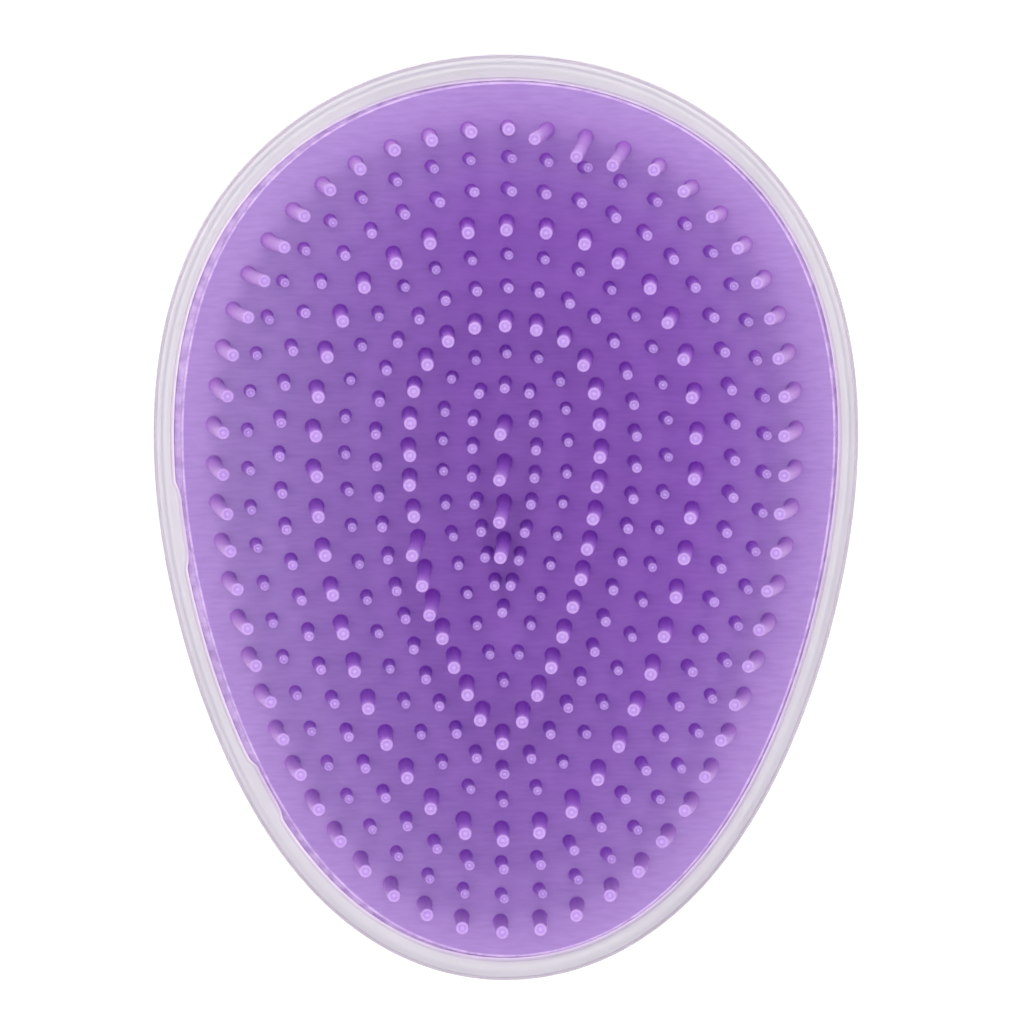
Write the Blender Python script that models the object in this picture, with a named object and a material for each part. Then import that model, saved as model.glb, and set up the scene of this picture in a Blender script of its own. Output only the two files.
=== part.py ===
"""Palm-held curry comb: clear back shell, rigid support plate and a flexible pad of moulded pins.

The pins point up (+Z) and the wide end of the egg-shaped outline points along +Y. The origin lies
under the middle of the outline, on the flat crown of the back shell that the part rests on.
"""
import math

import bmesh
import bpy
import numpy as np
from mathutils import Vector
from mathutils.geometry import delaunay_2d_cdt

MM = 0.001

# Egg-shaped outline of the back shell
HALF_LENGTH = 55.4 * MM
HALF_WIDTH = 41.36 * MM
EGG_TAPER = (0.1662, 0.09, -0.0393)
OUTLINE_SEGMENTS = 72
FINE_SEGMENTS = 2880

# Back shell: insets are measured inward from the outline, heights from the crown
RIM_HEIGHT = 28.0 * MM
RIM_EDGE_RADIUS = 0.5 * MM
LIP_REACH = 2.33 * MM
LIP_END_REACH = 0.27 * MM
LIP_CHAMFER_WIDTH = 0.45 * MM
LIP_CHAMFER_DEPTH = 0.35 * MM
LIP_UNDERSIDE = 27.45 * MM
GROOVE_INSET = 1.55 * MM
LEDGE_HEIGHT = 24.0 * MM
PARALLEL_LIMIT = 7.0 * MM
OUTER_GRIP = ((0.0, 24.6), (1.6, 22.9), (4.6, 21.0), (6.7, 18.2), (6.9, 14.9), (6.1, 11.4),
              (7.2, 7.4), (11.2, 3.7), (18.0, 1.1), (27.0, 0.0))
INNER_GRIP = ((4.8, 24.0), (5.6, 21.9), (7.9, 19.3), (8.8, 15.2), (8.0, 11.3),
              (9.6, 7.6), (13.6, 4.7), (19.4, 2.7), (27.0, 1.9))

# Catches of the shell that hold the pad's flange down, on the -X side: place along Y, half length
CATCHES = ((-1.0 * MM, 4.5 * MM), (-33.4 * MM, 3.8 * MM))
CATCH_REACH = 0.5 * MM

# Flexible pad: it sits a little towards +X, away from the catches
PAD_SHIFT = 0.3 * MM
PAD_FACE = 27.8 * MM
PAD_INSET = 2.95 * MM
PAD_EDGE_RADIUS = 0.2 * MM
FLANGE_INSET = 2.15 * MM
FLANGE_TOP = 27.15 * MM
PAD_UNDERSIDE = 26.1 * MM

# Support plate under the pad, with a locating rib inside the shell's ledge and cross ribs
PLATE_INSET = 3.0 * MM
PLATE_TOP = 25.8 * MM
PLATE_UNDERSIDE = 24.3 * MM
RIB_BOTTOM = 22.2 * MM
RIB_INSET = 8.4 * MM
RIB_THICKNESS = 1.2 * MM
CROSS_RIB_PLACES = (-24.0 * MM, 0.0, 24.0 * MM)

# Pins: height, radius at the pad, radius at the tip
PIN_SIZES = {
    "long": (15.0 * MM, 0.90 * MM, 0.76 * MM),
    "medium": (9.2 * MM, 0.74 * MM, 0.62 * MM),
    "short": (6.2 * MM, 0.70 * MM, 0.56 * MM),
}
PIN_SIDES = 6

# Rings of pins: inset of the pins' roots, number of pins, size. The outer ring is drawn in a little
# at both ends, and the whole pattern is shifted and turned slightly in the outline.
PIN_RINGS = (
    (7.3 * MM, 56, "long"),
    (11.3 * MM, 52, "short"),
    (15.1 * MM, 50, "medium"),
    (19.1 * MM, 40, "long"),
    (22.9 * MM, 38, "short"),
    (26.6 * MM, 38, "medium"),
    (30.5 * MM, 32, "long"),
    (34.5 * MM, 24, "short"),
    (38.2 * MM, 18, "medium"),
)
CENTRE_PINS = (12.4 * MM, 7.7 * MM, 2.9 * MM, -1.6 * MM)
OUTER_RING_STRETCH = 0.9875
OUTER_RING_LEAN = 1.0 * MM
PATTERN_TURN = math.radians(-0.5)
PATTERN_SHIFT = (-0.25 * MM, -0.76 * MM)


def clear_scene():
    for item in list(bpy.data.objects):
        bpy.data.objects.remove(item, do_unlink=True)


def make_material(name, colour, roughness, alpha=1.0):
    material = bpy.data.materials.new(name)
    material.use_nodes = True
    shader = material.node_tree.nodes["Principled BSDF"]
    shader.inputs["Base Color"].default_value = (*colour, 1.0)
    shader.inputs["Roughness"].default_value = roughness
    shader.inputs["Metallic"].default_value = 0.0
    shader.inputs["Alpha"].default_value = alpha
    return material


def make_object(name, bm, material):
    """Turn a bmesh into a named object that is smooth where its faces are nearly in line."""
    bmesh.ops.recalc_face_normals(bm, faces=bm.faces)
    mesh = bpy.data.meshes.new(name)
    bm.to_mesh(mesh)
    bm.free()
    mesh.shade_smooth()
    mesh.set_sharp_from_angle(angle=math.radians(35.0))
    mesh.materials.append(material)
    made = bpy.data.objects.new(name, mesh)
    bpy.context.scene.collection.objects.link(made)
    return made


# ---------------------------------------------------------------- outline

def egg_outline(count):
    """Points of the outline, clockwise from the wide end, at equal steps of angle."""
    angle = np.linspace(0.0, 2.0 * math.pi, count, endpoint=False)
    along = np.cos(angle)
    taper = 1.0 + EGG_TAPER[0] * along + EGG_TAPER[1] * along**2 + EGG_TAPER[2] * along**3
    return np.column_stack([HALF_WIDTH * np.sin(angle) * taper, HALF_LENGTH * along])


def inward_normals(points):
    tangent = np.roll(points, -1, axis=0) - np.roll(points, 1, axis=0)
    tangent /= np.linalg.norm(tangent, axis=1)[:, None]
    return np.column_stack([tangent[:, 1], -tangent[:, 0]])


def even_steps(points, count):
    """Resample a closed line at equal distances, keeping its first point."""
    closed = np.vstack([points, points[:1]])
    travelled = np.concatenate([[0.0], np.cumsum(np.linalg.norm(np.diff(closed, axis=0), axis=1))])
    wanted = np.arange(count) * travelled[-1] / count
    return np.column_stack([np.interp(wanted, travelled, closed[:, k]) for k in (0, 1)])


def parallel_curve(inset):
    """Curve at one distance inside the outline, without the loops that a tight end would give."""
    fine = egg_outline(FINE_SEGMENTS)
    moved = fine + inward_normals(fine) * inset
    gaps = np.linalg.norm(moved[:, None, :] - fine[None, ::4, :], axis=2).min(axis=1)
    return moved[gaps > inset - 0.02 * MM]


FINE_OUTLINE = egg_outline(FINE_SEGMENTS)
OUTLINE = even_steps(FINE_OUTLINE, OUTLINE_SEGMENTS)
OUTLINE_NORMALS = inward_normals(OUTLINE)


def level(inset, height, shift=0.0, extra=None):
    """One closed level of a shell: parallel near the rim, scaled towards the crown further in.

    extra holds a further inset for each point, for local features such as catches.
    """
    near = min(inset, PARALLEL_LIMIT)
    flat = OUTLINE + OUTLINE_NORMALS * near
    if extra is not None:
        flat = flat + OUTLINE_NORMALS * extra[:, None]
    shrink = 1.0 - (inset - near) / (HALF_WIDTH - PARALLEL_LIMIT)
    flat = flat * shrink
    return [Vector((x + shift, y, height)) for x, y in flat]


def smooth_line(knots, steps):
    """Points of a Catmull-Rom curve through the knots, in metres, from knots in millimetres."""
    line = np.array(knots) * MM
    padded = np.vstack([2 * line[0] - line[1], line, 2 * line[-1] - line[-2]])
    points = []
    for a, b, c, d in zip(padded, padded[1:], padded[2:], padded[3:]):
        for step in range(steps):
            t = step / steps
            points.append(0.5 * (2 * b + (c - a) * t + (2 * a - 5 * b + 4 * c - d) * t**2
                                 + (3 * b - a - 3 * c + d) * t**3))
    points.append(line[-1])
    return points


def quarter_round(start_inset, start_height, radius, steps=3):
    """Rounded edge from a flat top out to a vertical wall: (inset, height) pairs."""
    turns = [math.radians(90.0 * k / steps) for k in range(steps + 1)]
    return [(start_inset - radius * math.sin(turn), start_height - radius * (1.0 - math.cos(turn)))
            for turn in turns]


def skin(bm, levels, close_start=True, close_end=True):
    """Join closed levels with quads and cap the ends; gives back the rings of vertices."""
    rings = [[bm.verts.new(point) for point in points] for points in levels]
    for lower, upper in zip(rings, rings[1:]):
        for k in range(len(lower)):
            following = (k + 1) % len(lower)
            bm.faces.new((lower[k], lower[following], upper[following], upper[k]))
    if close_start:
        bm.faces.new(rings[0])
    if close_end:
        bm.faces.new(rings[-1])
    return rings


# ---------------------------------------------------------------- back shell

def lip_reach():
    """How far each point of the lip reaches beyond LIP_REACH: more at both ends and at the catches."""
    reach = LIP_END_REACH * OUTLINE_NORMALS[:, 1]**2
    on_side = FINE_OUTLINE[FINE_OUTLINE[:, 0] < 0.0]
    for place, half_length in CATCHES:
        middle = on_side[np.argmin(np.abs(on_side[:, 1] - place))]
        caught = np.linalg.norm(OUTLINE - middle, axis=1) < half_length
        reach[caught] = CATCH_REACH
    return reach


def make_back_shell():
    reach = lip_reach()
    levels = [level(inset, height) for inset, height in smooth_line(OUTER_GRIP, 2)[::-1]]
    edge = quarter_round(RIM_EDGE_RADIUS, RIM_HEIGHT, RIM_EDGE_RADIUS)
    levels += [level(inset, height) for inset, height in edge[::-1]]
    levels.append(level(LIP_REACH - LIP_CHAMFER_WIDTH, RIM_HEIGHT, extra=reach))
    levels.append(level(LIP_REACH, RIM_HEIGHT - LIP_CHAMFER_DEPTH, extra=reach))
    levels.append(level(LIP_REACH, LIP_UNDERSIDE, extra=reach))
    levels.append(level(GROOVE_INSET, LIP_UNDERSIDE))
    levels.append(level(GROOVE_INSET, LEDGE_HEIGHT))
    levels += [level(inset, height) for inset, height in smooth_line(INNER_GRIP, 1)]
    bm = bmesh.new()
    skin(bm, levels)
    return make_object("back_shell", bm, make_material("clear_plastic", (0.86, 0.84, 0.88), 0.12, 0.35))


# ---------------------------------------------------------------- support plate

def make_support_plate():
    """Plate with a locating rib around it, joined by a lengthwise rib and cross ribs."""
    rib_outer = RIB_INSET
    rib_inner = RIB_INSET + RIB_THICKNESS
    bm = bmesh.new()
    skin(bm, [
        level(PLATE_INSET, PLATE_TOP),
        level(PLATE_INSET, PLATE_UNDERSIDE),
        level(rib_outer, PLATE_UNDERSIDE),
        level(rib_outer, RIB_BOTTOM),
        level(rib_inner, RIB_BOTTOM),
        level(rib_inner, PLATE_UNDERSIDE),
    ])
    plate = make_object("support_plate", bm, make_material("violet_plate", (0.27, 0.12, 0.50), 0.40))
    inside = level(rib_outer + 0.5 * RIB_THICKNESS, 0.0)
    ribs = [((0.0, 0.0), (RIB_THICKNESS, max(p.y for p in inside) - min(p.y for p in inside)))]
    for place in CROSS_RIB_PLACES:
        nearest = min((p for p in inside if p.x > 0.0), key=lambda p: abs(p.y - place))
        ribs.append(((0.0, place), (2.0 * nearest.x, RIB_THICKNESS)))
    for number, ((x, y), (width, length)) in enumerate(ribs):
        join_rib(plate, number, x, y, width, length)
    return plate


def join_rib(plate, number, x, y, width, length):
    """Add one straight rib to the plate's underside with a Boolean union."""
    top = PLATE_UNDERSIDE + 0.5 * MM
    bottom = RIB_BOTTOM + 0.4 * MM
    bm = bmesh.new()
    bmesh.ops.create_cube(bm, size=1.0)
    bmesh.ops.scale(bm, vec=(width, length, top - bottom), verts=bm.verts)
    bmesh.ops.translate(bm, vec=(x, y, 0.5 * (top + bottom)), verts=bm.verts)
    mesh = bpy.data.meshes.new(f"rib_guide_{number}")
    bm.to_mesh(mesh)
    bm.free()
    guide = bpy.data.objects.new(f"rib_guide_{number}", mesh)
    bpy.context.scene.collection.objects.link(guide)
    guide.hide_render = True
    guide.display_type = "WIRE"
    union = plate.modifiers.new(f"rib_{number}", "BOOLEAN")
    union.operation = "UNION"
    union.object = guide


# ---------------------------------------------------------------- bristle pad

def pin_list():
    """Every pin as (root, tip, size), root and tip being points in the plane of the pad's face."""
    pins = []
    for number, (inset, count, size) in enumerate(PIN_RINGS):
        roots = even_steps(parallel_curve(inset), count)
        tips = roots.copy()
        if number == 0:
            roots[:, 1] *= OUTER_RING_STRETCH
            tips = roots.copy()
            tips[:, 0] += inward_normals(roots)[:, 0] * OUTER_RING_LEAN
        pins += [(root, tip, size) for root, tip in zip(roots, tips)]
    for place in CENTRE_PINS:
        middle = np.array([0.0, place])
        pins.append((middle, middle, "long"))
    turn = np.array([[math.cos(PATTERN_TURN), -math.sin(PATTERN_TURN)],
                     [math.sin(PATTERN_TURN), math.cos(PATTERN_TURN)]])
    shift = np.array(PATTERN_SHIFT)
    return [(turn @ root + shift, turn @ tip + shift, size) for root, tip, size in pins]


def circle(middle, radius, height):
    x, y = middle
    turns = [2.0 * math.pi * k / PIN_SIDES for k in range(PIN_SIDES)]
    return [Vector((x + radius * math.cos(turn), y + radius * math.sin(turn), height)) for turn in turns]


def fill_around_pins(bm, border, roots):
    """Triangulate the pad's face between its border and the rings of vertices at the pins' roots."""
    loops = [border] + roots
    verts = [vert for loop in loops for vert in loop]
    owner = [number for number, loop in enumerate(loops) for _ in loop]
    edges = []
    start = 0
    for loop in loops:
        edges += [(start + k, start + (k + 1) % len(loop)) for k in range(len(loop))]
        start += len(loop)
    flat = [Vector((vert.co.x / MM, vert.co.y / MM)) for vert in verts]
    inside_only = 1
    _, _, triangles, sources, _, _ = delaunay_2d_cdt(flat, edges, [], inside_only, 1e-5)
    for triangle in triangles:
        corners = [sources[k][0] for k in triangle]
        owners = {owner[k] for k in corners}
        if len(owners) == 1 and 0 not in owners:
            continue
        bm.faces.new([verts[k] for k in corners])


def make_bristle_pad():
    bm = bmesh.new()
    levels = [
        level(FLANGE_INSET, PAD_UNDERSIDE, PAD_SHIFT),
        level(FLANGE_INSET, FLANGE_TOP, PAD_SHIFT),
        level(PAD_INSET, FLANGE_TOP, PAD_SHIFT),
        level(PAD_INSET, PAD_FACE - PAD_EDGE_RADIUS, PAD_SHIFT),
        level(PAD_INSET + PAD_EDGE_RADIUS, PAD_FACE, PAD_SHIFT),
    ]
    border = skin(bm, levels, close_end=False)[-1]
    roots = []
    for root, tip, size in pin_list():
        height, root_radius, tip_radius = PIN_SIZES[size]
        rings = skin(bm, [
            circle(root, root_radius, PAD_FACE),
            circle(tip, tip_radius, PAD_FACE + height),
        ], close_start=False)
        roots.append(rings[0])
    fill_around_pins(bm, border, roots)
    return make_object("bristle_pad", bm, make_material("purple_pad", (0.42, 0.22, 0.68), 0.38))


clear_scene()
make_back_shell()
make_support_plate()
make_bristle_pad()
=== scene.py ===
import math

import bmesh
import bpy
import numpy as np
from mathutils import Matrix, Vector
from mathutils.geometry import delaunay_2d_cdt


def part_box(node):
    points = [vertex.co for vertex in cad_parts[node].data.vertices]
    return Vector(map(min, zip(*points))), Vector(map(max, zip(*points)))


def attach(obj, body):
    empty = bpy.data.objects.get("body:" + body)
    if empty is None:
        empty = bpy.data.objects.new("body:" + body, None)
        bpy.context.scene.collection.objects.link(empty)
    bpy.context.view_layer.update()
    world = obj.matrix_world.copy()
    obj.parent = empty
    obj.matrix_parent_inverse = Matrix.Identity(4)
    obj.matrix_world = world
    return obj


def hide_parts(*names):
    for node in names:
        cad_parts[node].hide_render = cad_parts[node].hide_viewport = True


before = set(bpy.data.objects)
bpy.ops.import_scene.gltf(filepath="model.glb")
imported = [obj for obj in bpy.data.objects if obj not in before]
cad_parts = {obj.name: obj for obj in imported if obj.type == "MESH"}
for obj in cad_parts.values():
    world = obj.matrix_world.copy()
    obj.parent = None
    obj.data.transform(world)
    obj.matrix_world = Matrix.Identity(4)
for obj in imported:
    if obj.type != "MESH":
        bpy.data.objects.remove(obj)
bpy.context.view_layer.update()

MM = 0.001

# ---------------------------------------------------------------- sizes

# Pin heights, and the levels that follow from them and from the frame's boxes
PIN_HEIGHTS = {"long": 15.0 * MM, "medium": 9.2 * MM, "short": 6.2 * MM}
SHELL_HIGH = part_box("back_shell")[1]
PAD_LOW, PAD_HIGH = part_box("bristle_pad")
PAD_FACE = PAD_HIGH.z - PIN_HEIGHTS["long"]
PAD_UNDERSIDE = PAD_LOW.z
PAD_SHIFT = 0.5 * (PAD_LOW.x + PAD_HIGH.x)
RIM = SHELL_HIGH.z

# Egg outline: half length along Y, half width, and how the width grows towards the wide end
HALF_LENGTH = SHELL_HIGH.y
HALF_WIDTH = SHELL_HIGH.x
EGG_TAPER = (0.1662, 0.09, -0.0393)
FINE_SEGMENTS = 2880
SEGMENTS = 288
PARALLEL_LIMIT = 7.0 * MM

# Back shell: rim, lip with a chamfer, and groove under the lip. The lip reaches further at both ends
RIM_EDGE_RADIUS = 0.5 * MM
LIP_REACH = 2.42 * MM
WIDE_END_REACH = 0.65 * MM
NARROW_END_REACH = 0.27 * MM
LIP_CHAMFER_WIDTH = 0.42 * MM
LIP_CHAMFER_DEPTH = 0.35 * MM
LIP_CORNER = 0.03 * MM
LIP_UNDERSIDE = RIM - 0.55 * MM
GROOVE_INSET = 1.55 * MM
LEDGE_HEIGHT = RIM - 4.0 * MM

# Outside and inside of the grip, as (inset from the outline, height) in millimetres, down to the crown
OUTER_GRIP = ((0.0, 24.6), (1.6, 22.9), (4.6, 21.0), (6.7, 18.2), (6.9, 14.9), (6.1, 11.4),
              (7.2, 7.4), (11.2, 3.7), (18.0, 1.1), (27.0, 0.0))
INNER_GRIP = ((4.8, 24.0), (5.6, 21.9), (7.9, 19.3), (8.8, 15.2), (8.0, 11.3),
              (9.6, 7.6), (13.6, 4.7), (19.4, 2.7), (27.0, 1.9))

# Catches on the lip's left side, as (place along Y, half length)
CATCHES = ((-1.0 * MM, 4.5 * MM), (-33.4 * MM, 3.8 * MM))
CATCH_RAMP = 1.4 * MM
CATCH_REACH = 0.52 * MM

# Places on the shell that its material tells apart; the grip is at 0. The material paints shade on the rim's
# outer edge and a highlight with a pinkish reflection on the chamfer
EDGE_PLACE = 0.33
FLAT_PLACE = 0.66
CHAMFER_PLACE = 1.0

# Pad: its face, the flange under the lip and the low bead round the face, and the width of the painted
# highlight along its edge
PAD_INSET = 3.0 * MM
PAD_SETBACK = -0.2 * MM
FLANGE_INSET = 2.15 * MM
FLANGE_TOP = PAD_FACE - 0.65 * MM
PAD_EDGE_RADIUS = 0.24 * MM
FLANGE_BEVEL = 0.15 * MM
BEAD_HEIGHT = 0.04 * MM
BEAD_WIDTH = 0.5 * MM
EDGE_HIGHLIGHT_WIDTH = 0.3 * MM

# Distance from the outline over which painted shade deepens on the pad's face and pins, standing in for the
# shade between the pins
SHADE_START = 4.0 * MM
SHADE_SPAN = 14.0 * MM

# Pins: radius at the root and at the tip, fillet at the root, and how the lean grows with height
PIN_RADII = {"long": (0.85 * MM, 0.77 * MM), "medium": (0.69 * MM, 0.62 * MM),
             "short": (0.66 * MM, 0.57 * MM)}
PIN_SIDES = 18
ROOT_FILLET = 0.20 * MM
FILLET_SHARE_OF_GAP = 0.4
TIP_EDGE = 0.22 * MM
BODY_STEPS = 4
BEND_POWER = 1.7

# Pin tips: a rounded edge, a ring-shaped dimple and a low button, as (share of the tip's radius,
# drop below the top in edge heights, place in the colour ramp)
# Places in the colour ramp paint light: painted shade at the root rising to BODY_TOP, pale tips as a painted
# highlight, painted shade in the dimple and a painted highlight on the button
BODY_TOP = 0.80
TIP_RINGS = ((0.95, 0.55, 0.84), (0.84, 0.18, 0.88), (0.72, 0.0, 0.89), (0.60, 0.25, 0.93),
             (0.40, 0.80, 0.95), (0.27, 0.60, 0.98), (0.13, 0.40, 1.0))

# Rings of pins, as (inset, number, size, mean sideways lean), and the centre row, as (place along Y,
# lean along Y), all in millimetres
PIN_RINGS = (
    (7.3, 56, "long", -0.15),
    (11.3, 52, "short", 0.30),
    (15.1, 50, "medium", 0.28),
    (19.1, 40, "long", -0.27),
    (22.9, 38, "short", 0.15),
    (26.6, 38, "medium", 0.03),
    (30.5, 32, "long", -0.40),
    (34.5, 24, "short", 0.04),
    (38.2, 18, "medium", -0.38),
)
CENTRE_PINS = ((12.4, -0.3), (7.7, -1.3), (2.9, -1.25), (-1.6, -0.95))
CENTRE_LEAN = -0.95

# The outer ring is a little shorter than its curve, sits further along at the sides and leans inward
OUTER_RING_STRETCH = 0.9875
OUTER_SIDE_SHIFT = 0.7 * MM
OUTER_LEAN_RIGHT = np.array([-1.8 * MM, -0.15 * MM])
OUTER_LEAN_LEFT = np.array([1.4 * MM, -0.5 * MM])
OUTER_LEAN_ALONG = 0.45 * MM

# Other long pins lean towards the middle; every pin has a small lean of its own
LEAN_PER_OFFSET = -0.023
LEAN_SPREAD = 0.10 * MM

# Pins bent by use: lean in millimetres by (ring, pin), and a bunch of outer pins pushed over together
BENT_PINS = {(0, 1): (-1.85, -0.3), (0, 2): (-1.55, -1.6), (0, 3): (-1.75, -1.2), (0, 4): (-1.1, 0.3),
             (0, 5): (-1.5, 0.35), (0, 6): (-1.6, 0.5),
             (6, 21): (-0.6, -0.9), (6, 22): (-0.5, -1.0), (6, 23): (-0.9, -1.0)}
PUSHED_MIDDLE = 48.5
PUSHED_SPAN = 2.0
PUSHED_LEAN = 1.2 * MM

# The whole pattern is turned and moved a little on the pad
PATTERN_TURN = math.radians(-0.5)
PATTERN_SHIFT = np.array([-0.25 * MM, -0.76 * MM])
SEED = 11


# ---------------------------------------------------------------- outline

def egg_outline():
    """Fine points of the outline, clockwise from the wide end on +Y."""
    angle = np.linspace(0.0, 2.0 * math.pi, FINE_SEGMENTS, endpoint=False)
    along = np.cos(angle)
    taper = 1.0 + EGG_TAPER[0] * along + EGG_TAPER[1] * along**2 + EGG_TAPER[2] * along**3
    across = np.sin(angle) * taper
    return np.column_stack([across * HALF_WIDTH / across.max(), along * HALF_LENGTH])


def inward_normals(points):
    tangent = np.roll(points, -1, axis=0) - np.roll(points, 1, axis=0)
    tangent /= np.linalg.norm(tangent, axis=1)[:, None]
    return np.column_stack([tangent[:, 1], -tangent[:, 0]])


def even_steps(points, count):
    """Resample a closed line at equal distances, keeping its first point."""
    closed = np.vstack([points, points[:1]])
    travelled = np.concatenate([[0.0], np.cumsum(np.linalg.norm(np.diff(closed, axis=0), axis=1))])
    wanted = np.arange(count) * travelled[-1] / count
    return np.column_stack([np.interp(wanted, travelled, closed[:, k]) for k in (0, 1)])


def parallel_curve(inset):
    """Curve at one distance inside the outline, without the loops that a tight end would give."""
    moved = FINE_OUTLINE + inward_normals(FINE_OUTLINE) * inset
    gaps = np.linalg.norm(moved[:, None, :] - FINE_OUTLINE[None, ::4, :], axis=2).min(axis=1)
    return moved[gaps > inset - 0.02 * MM]


FINE_OUTLINE = egg_outline()
OUTLINE = even_steps(FINE_OUTLINE, SEGMENTS)
OUTLINE_NORMALS = inward_normals(OUTLINE)


def level(inset, height, shift=(0.0, 0.0), extra=None):
    """One closed level: parallel to the outline near the rim, scaled towards the crown further in."""
    near = min(inset, PARALLEL_LIMIT)
    flat = OUTLINE + OUTLINE_NORMALS * near
    if extra is not None:
        flat = flat + OUTLINE_NORMALS * extra[:, None]
    shrink = 1.0 - (inset - near) / (HALF_WIDTH - PARALLEL_LIMIT)
    flat = flat * shrink
    return [Vector((x + shift[0], y + shift[1], height)) for x, y in flat]


def smooth_line(knots, steps):
    """Points of a Catmull-Rom curve through the knots, in metres, from knots in millimetres."""
    line = np.array(knots) * MM
    padded = np.vstack([2 * line[0] - line[1], line, 2 * line[-1] - line[-2]])
    points = []
    for a, b, c, d in zip(padded, padded[1:], padded[2:], padded[3:]):
        for step in range(steps):
            t = step / steps
            points.append(0.5 * (2 * b + (c - a) * t + (2 * a - 5 * b + 4 * c - d) * t**2
                                 + (3 * b - a - 3 * c + d) * t**3))
    points.append(line[-1])
    return points


def arc(centre, radius, start, end, steps):
    """Points of an arc in the (inset, height) plane, by angles in degrees."""
    turns = np.radians(np.linspace(start, end, steps + 1))
    return [(centre[0] + radius * math.cos(turn), centre[1] + radius * math.sin(turn)) for turn in turns]


# ---------------------------------------------------------------- mesh helpers

def skin(bm, levels, close_start=True, close_end=True):
    """Join closed levels with quads and cap the ends; gives back the rings of vertices."""
    rings = [[bm.verts.new(point) for point in points] for points in levels]
    for lower, upper in zip(rings, rings[1:]):
        for k in range(len(lower)):
            following = (k + 1) % len(lower)
            bm.faces.new((lower[k], lower[following], upper[following], upper[k]))
    if close_start:
        bm.faces.new(rings[0])
    if close_end:
        bm.faces.new(rings[-1])
    return rings


def make_object(name, bm, material, sharp=40.0):
    bmesh.ops.recalc_face_normals(bm, faces=bm.faces)
    mesh = bpy.data.meshes.new(name)
    bm.to_mesh(mesh)
    bm.free()
    mesh.shade_smooth()
    mesh.set_sharp_from_angle(angle=math.radians(sharp))
    mesh.materials.append(material)
    made = bpy.data.objects.new(name, mesh)
    bpy.context.scene.collection.objects.link(made)
    return made


# ---------------------------------------------------------------- materials

class Nodes:
    """Short calls to build a material's node tree."""

    def __init__(self, name):
        self.material = bpy.data.materials.new(name)
        self.material.use_nodes = True
        self.tree = self.material.node_tree
        self.shader = self.tree.nodes["Principled BSDF"]

    def add(self, kind, **settings):
        node = self.tree.nodes.new(kind)
        for key, value in settings.items():
            setattr(node, key, value)
        return node

    def link(self, source, target):
        self.tree.links.new(source, target)

    def position(self, scale=(1.0, 1.0, 1.0)):
        """Object coordinates, stretched by scale."""
        coordinates = self.add("ShaderNodeTexCoord")
        mapping = self.add("ShaderNodeMapping")
        mapping.inputs["Scale"].default_value = scale
        self.link(coordinates.outputs["Object"], mapping.inputs["Vector"])
        return mapping.outputs["Vector"]

    def noise(self, scale, detail=3.0, stretch=(1.0, 1.0, 1.0)):
        texture = self.add("ShaderNodeTexNoise")
        texture.inputs["Scale"].default_value = scale
        texture.inputs["Detail"].default_value = detail
        self.link(self.position(stretch), texture.inputs["Vector"])
        return texture.outputs["Fac"]

    def ramp(self, source, stops):
        node = self.add("ShaderNodeValToRGB")
        elements = node.color_ramp.elements
        while len(elements) < len(stops):
            elements.new(0.5)
        for element, (place, colour) in zip(elements, stops):
            element.position = place
            element.color = (*colour, 1.0)
        self.link(source, node.inputs["Fac"])
        return node.outputs["Color"]

    def mix(self, kind, factor, first, second):
        """Mix two colours; factor, first and second are sockets or plain values."""
        node = self.add("ShaderNodeMix", data_type="RGBA", blend_type=kind)
        for socket, value in ((node.inputs[0], factor), (node.inputs[6], first), (node.inputs[7], second)):
            if isinstance(value, bpy.types.NodeSocket):
                self.link(value, socket)
            else:
                socket.default_value = value
        return node.outputs[2]

    def remap(self, source, low, high, new_low, new_high):
        node = self.add("ShaderNodeMapRange")
        for key, value in (("From Min", low), ("From Max", high), ("To Min", new_low), ("To Max", new_high)):
            node.inputs[key].default_value = value
        self.link(source, node.inputs["Value"])
        return node.outputs["Result"]

    def product(self, first, second):
        node = self.add("ShaderNodeMath", operation="MULTIPLY")
        self.link(first, node.inputs[0])
        self.link(second, node.inputs[1])
        return node.outputs["Value"]

    def bump(self, layers):
        """Chain bump layers of (height socket, strength, distance in metres) into the shader's normal."""
        previous = None
        for height, strength, distance in layers:
            node = self.add("ShaderNodeBump")
            node.inputs["Strength"].default_value = strength
            node.inputs["Distance"].default_value = distance
            self.link(height, node.inputs["Height"])
            if previous is not None:
                self.link(previous, node.inputs["Normal"])
            previous = node.outputs["Normal"]
        self.link(previous, self.shader.inputs["Normal"])


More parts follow.
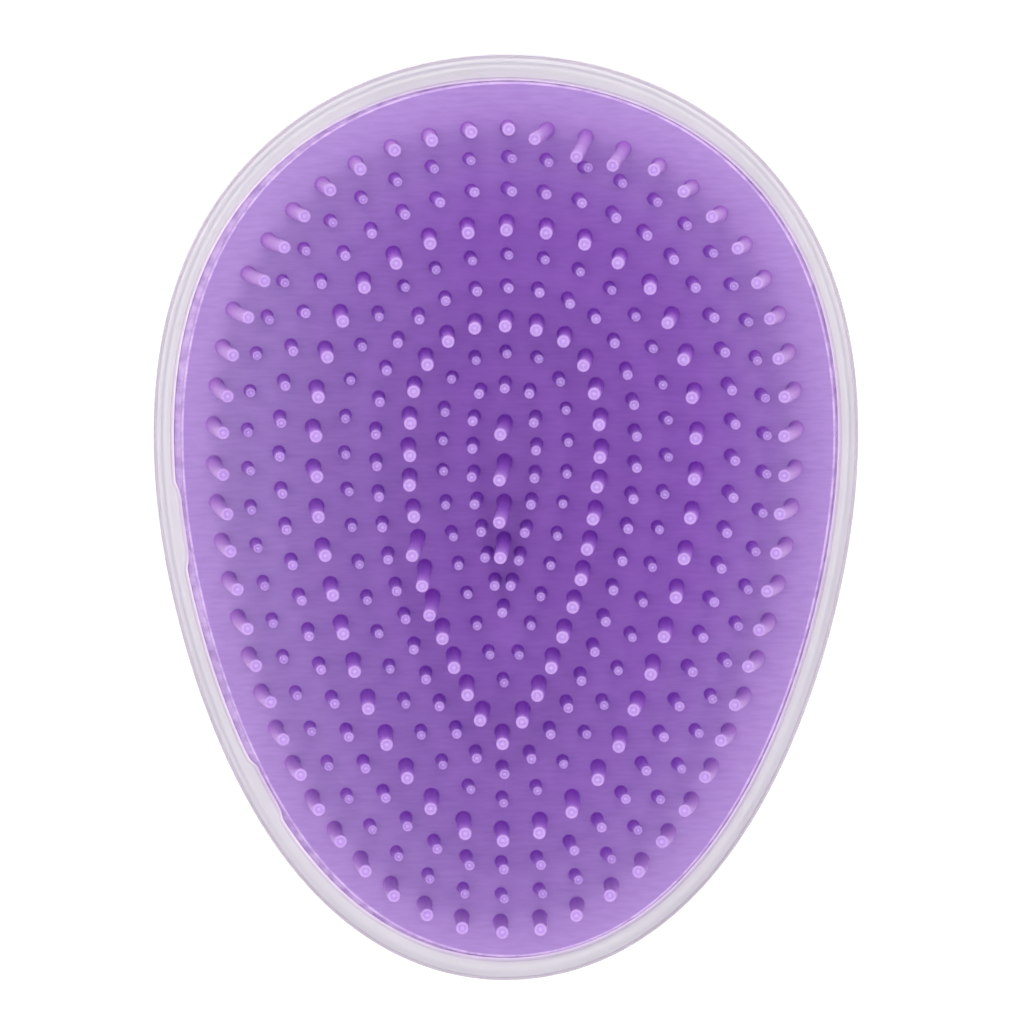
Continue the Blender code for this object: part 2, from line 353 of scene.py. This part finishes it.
def clear_plastic():
    """Clear moulded shell, frosted at the rim: faint lavender tint, fine waviness and handling haze, painted
    shade on the rim's outer edge, and a painted highlight with a pinkish painted reflection on the lip's
    chamfer.
    """
    nodes = Nodes("clear_plastic")
    shader = nodes.shader.inputs
    shader["IOR"].default_value = 1.42
    haze = nodes.noise(90.0, 4.0)
    tint = nodes.ramp(haze, ((0.35, (0.885, 0.86, 0.90)), (0.65, (0.935, 0.91, 0.945))))
    rim = nodes.add("ShaderNodeAttribute", attribute_name="rim_place").outputs["Fac"]
    # Painted shade darkens the rim's outer edge to mauve; a faint pink on the chamfer is a painted
    # reflection of the purple pad
    rim_painted_shade_and_reflection = nodes.ramp(rim, ((0.0, (1.0, 1.0, 1.0)), (EDGE_PLACE, (0.74, 0.68, 0.76)),
                                (FLAT_PLACE, (1.0, 1.0, 1.0)), (CHAMFER_PLACE, (1.0, 0.95, 1.0))))
    nodes.link(nodes.mix("MULTIPLY", 1.0, tint, rim_painted_shade_and_reflection), shader["Base Color"])
    nodes.link(nodes.remap(rim, 0.0, EDGE_PLACE, 0.86, 0.55), shader["Transmission Weight"])
    frosted = nodes.remap(rim, 0.0, EDGE_PLACE, 0.45, 1.0)
    nodes.link(nodes.product(nodes.remap(haze, 0.35, 0.7, 0.18, 0.26), frosted), shader["Roughness"])
    # The chamfer glows pinkish-white as a painted highlight standing in for its reflection of the purple pad
    chamfer_painted_highlight = nodes.remap(rim, 0.7, CHAMFER_PLACE, 0.0, 0.22)
    nodes.link(chamfer_painted_highlight, shader["Emission Strength"])
    shader["Emission Color"].default_value = (0.95, 0.82, 1.0, 1.0)
    nodes.bump(((nodes.noise(900.0, 2.0), 0.04, 0.00003),))
    return nodes.material


def violet_plate():
    """Satin support plate inside the shell."""
    nodes = Nodes("violet_plate")
    shader = nodes.shader.inputs
    cloud = nodes.noise(45.0, 4.0)
    colour = nodes.ramp(cloud, ((0.3, (0.25, 0.11, 0.47)), (0.7, (0.32, 0.15, 0.56))))
    nodes.link(colour, shader["Base Color"])
    nodes.link(nodes.remap(cloud, 0.3, 0.7, 0.35, 0.48), shader["Roughness"])
    nodes.bump(((nodes.noise(2500.0, 3.0), 0.25, 0.00008),))
    return nodes.material


def purple_pad():
    """Soft moulded elastomer with painted light: painted shade deepening towards the middle and at the pins'
    roots, painted highlights on the pad's edge and on the pins' tips.
    """
    nodes = Nodes("purple_pad")
    shader = nodes.shader.inputs
    place = nodes.add("ShaderNodeAttribute", attribute_name="pin_place").outputs["Fac"]
    inner = nodes.add("ShaderNodeAttribute", attribute_name="inner_shade_share").outputs["Fac"]
    edge = nodes.add("ShaderNodeAttribute", attribute_name="edge_highlight_share").outputs["Fac"]
    # Along each pin the ramps paint shade at the root and lower shaft, deeper on the inner pins, and paint
    # the tips pale as a highlight, with painted shade in the dimple ring
    face = (0.0, (0.455, 0.285, 0.655))
    tip = ((0.88, (0.58, 0.38, 0.80)), (0.94, (0.54, 0.34, 0.78)), (1.0, (0.60, 0.41, 0.83)))
    inner_pin = nodes.ramp(place, (face, (0.07, (0.35, 0.05, 0.64)), (0.45, (0.42, 0.13, 0.70)),
                                   (0.78, (0.50, 0.26, 0.76)), *tip))
    outer_pin = nodes.ramp(place, (face, (0.07, (0.40, 0.15, 0.60)), (0.45, (0.43, 0.21, 0.61)),
                                   (0.78, (0.43, 0.23, 0.62)), *tip))
    along_pin = nodes.mix("MIX", nodes.remap(inner, 0.25, 0.55, 0.0, 1.0), outer_pin, inner_pin)
    # Painted shade deepens the pad's face towards its middle, weaker towards the left and the narrow end
    # where more light falls
    spot = nodes.add("ShaderNodeSeparateXYZ")
    nodes.link(nodes.position(), spot.inputs["Vector"])
    shade_fade_left = nodes.remap(spot.outputs["X"], -0.032, -0.004, 0.10, 1.0)
    shade_fade_narrow_end = nodes.remap(spot.outputs["Y"], -0.042, -0.008, 0.50, 1.0)
    depth = nodes.product(inner, nodes.product(shade_fade_left, shade_fade_narrow_end))
    painted_shade = nodes.ramp(depth, ((0.0, (1.0, 1.0, 1.0)), (1.0, (0.81, 0.47, 0.93))))
    on_face = nodes.remap(place, 0.0, 0.06, 1.0, 0.0)
    coloured = nodes.mix("MULTIPLY", on_face, along_pin, painted_shade)
    # Painted highlight: pale lilac glints along the pad's edge and flange
    glint = nodes.remap(nodes.noise(700.0, 3.0), 0.35, 0.6, 0.35, 1.0)
    edge_highlighted = nodes.mix("MIX", nodes.product(edge, glint), coloured, (0.76, 0.57, 0.91, 1.0))
    cloud = nodes.noise(70.0, 4.0)
    mottle = nodes.ramp(cloud, ((0.3, (0.93, 0.91, 0.95)), (0.7, (1.0, 1.0, 1.0))))
    streaks = nodes.ramp(nodes.noise(2300.0, 3.0, stretch=(0.16, 1.0, 1.0)),
                         ((0.32, (0.90, 0.87, 0.93)), (0.62, (1.0, 1.0, 1.0))))
    surface = nodes.mix("MULTIPLY", 1.0, mottle, streaks)
    nodes.link(nodes.mix("MULTIPLY", 1.0, edge_highlighted, surface), shader["Base Color"])
    nodes.link(nodes.remap(cloud, 0.3, 0.7, 0.34, 0.46), shader["Roughness"])
    shader["Specular IOR Level"].default_value = 0.25
    shader["Subsurface Weight"].default_value = 0.2
    shader["Subsurface Radius"].default_value = (0.9, 0.5, 1.0)
    shader["Subsurface Scale"].default_value = 0.0012
    grain = nodes.noise(4000.0, 2.0)
    brushed = nodes.noise(300.0, 3.0, stretch=(0.12, 6.0, 1.0))
    nodes.bump(((brushed, 0.12, 0.00006), (grain, 0.08, 0.00003)))
    return nodes.material


# ---------------------------------------------------------------- clear shell

def lip_reach():
    """How far each point of the lip reaches beyond LIP_REACH: more at both ends and at the catches."""
    inward_along = OUTLINE_NORMALS[:, 1]
    reach = np.where(inward_along < 0.0, WIDE_END_REACH, NARROW_END_REACH) * inward_along**2
    left = FINE_OUTLINE[FINE_OUTLINE[:, 0] < 0.0]
    for place, half_length in CATCHES:
        middle = left[np.argmin(np.abs(left[:, 1] - place))]
        distance = np.linalg.norm(OUTLINE - middle, axis=1)
        share = np.clip((half_length - distance) / CATCH_RAMP + 0.5, 0.0, 1.0)
        reach = np.maximum(reach, CATCH_REACH * share**2 * (3.0 - 2.0 * share))
    return reach


def make_shell():
    """Shell as one skin, from the crown up the outside, over the rim and down the inside."""
    reach = lip_reach()
    radius = RIM_EDGE_RADIUS
    chamfer_end = RIM - LIP_CHAMFER_DEPTH
    profile = [(inset, height, False) for inset, height in smooth_line(OUTER_GRIP, 7)[::-1]]
    profile += [(i, h, False) for i, h in arc((radius, RIM - radius), radius, 180.0, 90.0, 8)]
    profile += [(1.15 * radius, RIM, False), (LIP_REACH - LIP_CHAMFER_WIDTH, RIM, True),
                (LIP_REACH - 2.0 * LIP_CORNER, chamfer_end + LIP_CORNER, True),
                (LIP_REACH, chamfer_end - LIP_CORNER, True),
                (LIP_REACH, LIP_UNDERSIDE, True), (GROOVE_INSET, LIP_UNDERSIDE, False),
                (GROOVE_INSET, LEDGE_HEIGHT, False)]
    profile += [(inset, height, False) for inset, height in smooth_line(INNER_GRIP, 6)]
    bm = bmesh.new()
    rim_place = bm.verts.layers.float.new("rim_place")
    rings = skin(bm, [level(inset, height, extra=reach if on_lip else None)
                      for inset, height, on_lip in profile])
    for ring, (inset, height, on_lip) in zip(rings, profile):
        for vert in ring:
            if on_lip:
                on_chamfer = inset > LIP_REACH - 0.5 * LIP_CHAMFER_WIDTH
                vert[rim_place] = CHAMFER_PLACE if on_chamfer else FLAT_PLACE
            elif inset < 0.9 * radius and height > RIM - 1.2 * radius:
                vert[rim_place] = EDGE_PLACE
            elif height == RIM:
                vert[rim_place] = FLAT_PLACE
    return make_object("clear_shell", bm, clear_plastic())


# ---------------------------------------------------------------- pad and pins

def pin_list():
    """Every pin as (root, lean vector, size): roots on rings parallel to the outline."""
    random = np.random.default_rng(SEED)
    pins = []
    for number, (inset, count, size, sideways) in enumerate(PIN_RINGS):
        roots = even_steps(parallel_curve(inset * MM), count)
        if number == 0:
            roots[:, 1] *= OUTER_RING_STRETCH
            roots[:, 1] += OUTER_SIDE_SHIFT * np.abs(roots[:, 0]) / HALF_LENGTH
        for k, root in enumerate(roots):
            lean = np.array([sideways * MM, 0.0]) + random.normal(0.0, LEAN_SPREAD, 2)
            if number == 0:
                pushed = PUSHED_LEAN * math.exp(-((k - PUSHED_MIDDLE) / PUSHED_SPAN)**2)
                sine = math.sin(2.0 * math.pi * k / count)
                lean += abs(sine) * (OUTER_LEAN_RIGHT if sine > 0.0 else OUTER_LEAN_LEFT)
                lean += (pushed, OUTER_LEAN_ALONG)
            elif size == "long":
                lean[0] += LEAN_PER_OFFSET * root[0]
            if (number, k) in BENT_PINS:
                lean = np.array(BENT_PINS[number, k]) * MM
            pins.append((root, lean, size))
    for place, along in CENTRE_PINS:
        lean = np.array([CENTRE_LEAN, along]) * MM + random.normal(0.0, LEAN_SPREAD, 2)
        pins.append((np.array([0.0, place * MM]), lean, "long"))
    turn = np.array([[math.cos(PATTERN_TURN), -math.sin(PATTERN_TURN)],
                     [math.sin(PATTERN_TURN), math.cos(PATTERN_TURN)]])
    return [(turn @ root + PATTERN_SHIFT, lean, size) for root, lean, size in pins]


def root_fillets(pins):
    """Fillet at each pin's root, smaller where a neighbour stands close."""
    roots = np.array([root for root, _, _ in pins])
    radii = np.array([PIN_RADII[size][0] for _, _, size in pins])
    gaps = np.linalg.norm(roots[:, None] - roots[None], axis=2) - radii[:, None] - radii[None]
    np.fill_diagonal(gaps, 1.0)
    return np.minimum(ROOT_FILLET, FILLET_SHARE_OF_GAP * gaps.min(axis=1)).tolist()


def pin_profile(size, fillet):
    """(share of the height, radius, place in the colour ramp) from the root's fillet to the tip's dimple."""
    height = PIN_HEIGHTS[size]
    root, tip = PIN_RADII[size]
    profile = [(0.0, root + fillet, 0.0), (0.10 * fillet / height, root + 0.45 * fillet, 0.02),
               (0.45 * fillet / height, root + 0.12 * fillet, 0.05), (1.1 * fillet / height, root, 0.08)]
    body_end = 1.0 - TIP_EDGE / height
    for step in range(1, BODY_STEPS + 1):
        share = step / BODY_STEPS
        profile.append((share * body_end, root + (tip - root) * share, BODY_TOP * share))
    profile += [(1.0 - drop * TIP_EDGE / height, radius * tip, place) for radius, drop, place in TIP_RINGS]
    return profile


def pin_levels(root, lean, size, fillet):
    """Circles square to the bent line of one pin, and each circle's place in the colour ramp."""
    height = PIN_HEIGHTS[size]
    levels = []
    places = []
    for share, radius, place in pin_profile(size, fillet):
        bend = share**BEND_POWER
        centre = Vector((root[0] + lean[0] * bend, root[1] + lean[1] * bend, PAD_FACE + height * share))
        slope = BEND_POWER * share ** (BEND_POWER - 1.0)
        tangent = Vector((lean[0] * slope, lean[1] * slope, height)).normalized()
        across = Vector((1.0, 0.0, 0.0)).cross(tangent).normalized()
        side = tangent.cross(across)
        circle = []
        for k in range(PIN_SIDES):
            turn = 2.0 * math.pi * k / PIN_SIDES
            circle.append(centre + radius * (math.cos(turn) * side + math.sin(turn) * across))
        levels.append(circle)
        places.append(place)
    return levels, places


def fill_around_pins(bm, border, roots):
    """Triangulate the pad's face between its border and the rings of vertices at the pins' roots."""
    loops = [border] + roots
    verts = [vert for loop in loops for vert in loop]
    owner = [number for number, loop in enumerate(loops) for _ in loop]
    edges = []
    start = 0
    for loop in loops:
        edges += [(start + k, start + (k + 1) % len(loop)) for k in range(len(loop))]
        start += len(loop)
    flat = [Vector((vert.co.x / MM, vert.co.y / MM)) for vert in verts]
    inside_only = 1
    tolerance = 1e-5
    _, _, triangles, sources, _, _ = delaunay_2d_cdt(flat, edges, [], inside_only, tolerance)
    for triangle in triangles:
        corners = [sources[k][0] for k in triangle]
        owners = {owner[k] for k in corners}
        under_one_pin = len(owners) == 1 and 0 not in owners
        if not under_one_pin:
            bm.faces.new([verts[k] for k in corners])


def make_pad():
    """Pad as one skin: flange, face with a low bead, and every pin joined to the face."""
    bm = bmesh.new()
    pin_place = bm.verts.layers.float.new("pin_place")
    inner_shade_share = bm.verts.layers.float.new("inner_shade_share")
    edge_highlight_share = bm.verts.layers.float.new("edge_highlight_share")
    edge = PAD_EDGE_RADIUS
    profile = [(FLANGE_INSET, PAD_UNDERSIDE), (FLANGE_INSET, FLANGE_TOP - FLANGE_BEVEL),
               (FLANGE_INSET + FLANGE_BEVEL, FLANGE_TOP), (PAD_INSET - 0.1 * MM, FLANGE_TOP),
               (PAD_INSET, FLANGE_TOP + 0.1 * MM)]
    top = PAD_FACE + BEAD_HEIGHT
    profile += [(i, h) for i, h in arc((PAD_INSET + edge, top - edge), edge, 180.0, 90.0, 6)]
    profile += [(PAD_INSET + 0.7 * BEAD_WIDTH, PAD_FACE + 0.5 * BEAD_HEIGHT),
                (PAD_INSET + BEAD_WIDTH, PAD_FACE)]
    shift = (PAD_SHIFT, PAD_SETBACK)
    rings = skin(bm, [level(inset, height, shift) for inset, height in profile], close_end=False)
    border = rings[-1]
    for (inset, _), ring in zip(profile, rings):
        for vert in ring:
            # Verts near the pad's edge carry the painted highlight
            vert[edge_highlight_share] = 1.0 if inset < PAD_INSET + EDGE_HIGHLIGHT_WIDTH else 0.0
    roots = []
    pins = pin_list()
    for (root, lean, size), fillet in zip(pins, root_fillets(pins)):
        levels, places = pin_levels(root, lean, size, fillet)
        rings = skin(bm, levels, close_start=False)
        # The share of painted shade grows inward from the outline, standing in for the shade between the
        # pins
        depth = np.linalg.norm(FINE_OUTLINE - root, axis=1).min()
        inner = min(1.0, (depth - SHADE_START) / SHADE_SPAN)
        for ring, place in zip(rings, places):
            for vert in ring:
                vert[pin_place] = place
                vert[inner_shade_share] = inner
        roots.append(rings[0])
    fill_around_pins(bm, border, roots)
    return make_object("soft_pin_pad", bm, purple_pad(), sharp=50.0)


# ---------------------------------------------------------------- stage

SENSOR_WIDTH = 36.0
CAMERA_DISTANCE = 1.4
CAMERA_TILT = math.radians(5.0)
CAMERA_SIDE = math.radians(1.2)
FRAME_WIDTH = 122.0 * MM
AIM = Vector((0.8 * MM, 0.9 * MM, RIM))
WHITE = (1.0, 1.0, 1.0, 1.0)
FLOOR_HALF_SIZE = 3.0
FLOOR_GLOW = 0.35
SKY_STRENGTH = 0.95


def make_camera():
    camera = bpy.data.cameras.new("camera")
    camera.sensor_width = SENSOR_WIDTH
    camera.lens = SENSOR_WIDTH * CAMERA_DISTANCE / FRAME_WIDTH
    holder = bpy.data.objects.new("camera", camera)
    back = Vector((-math.sin(CAMERA_SIDE), math.sin(CAMERA_TILT), math.cos(CAMERA_TILT)))
    holder.location = AIM + back * CAMERA_DISTANCE
    holder.rotation_euler = (-CAMERA_TILT, -CAMERA_SIDE, 0.0)
    bpy.context.scene.collection.objects.link(holder)
    bpy.context.scene.camera = holder


def make_light(name, place, size, power):
    light = bpy.data.lights.new(name, "AREA")
    light.shape = "DISK"
    light.size = size
    light.energy = power
    holder = bpy.data.objects.new(name, light)
    holder.location = place
    holder.rotation_euler = (Vector((0.0, 0.0, RIM)) - Vector(place)).to_track_quat("-Z", "Y").to_euler()
    bpy.context.scene.collection.objects.link(holder)


def make_stage():
    bm = bmesh.new()
    bmesh.ops.create_grid(bm, x_segments=1, y_segments=1, size=FLOOR_HALF_SIZE)
    nodes = Nodes("pale_floor")
    shader = nodes.shader.inputs
    shader["Base Color"].default_value = (0.9, 0.9, 0.9, 1.0)
    shader["Roughness"].default_value = 0.8
    shader["Emission Color"].default_value = WHITE
    shader["Emission Strength"].default_value = FLOOR_GLOW
    floor = make_object("floor", bm, nodes.material)
    world = bpy.data.worlds.new("soft_white")
    world.use_nodes = True
    sky = world.node_tree.nodes["Background"].inputs
    sky["Color"].default_value = WHITE
    sky["Strength"].default_value = SKY_STRENGTH
    bpy.context.scene.world = world
    make_light("overhead", place=(-0.10, 0.15, 1.0), size=0.8, power=3.0)
    bpy.context.scene.view_settings.view_transform = "Standard"


# ---------------------------------------------------------------- build

make_camera()
make_stage()
shell = make_shell()
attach(shell, "root")
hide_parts("back_shell")
pad = make_pad()
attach(pad, "root")
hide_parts("bristle_pad")
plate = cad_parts["support_plate"]
plate.data.materials.clear()
plate.data.materials.append(violet_plate())
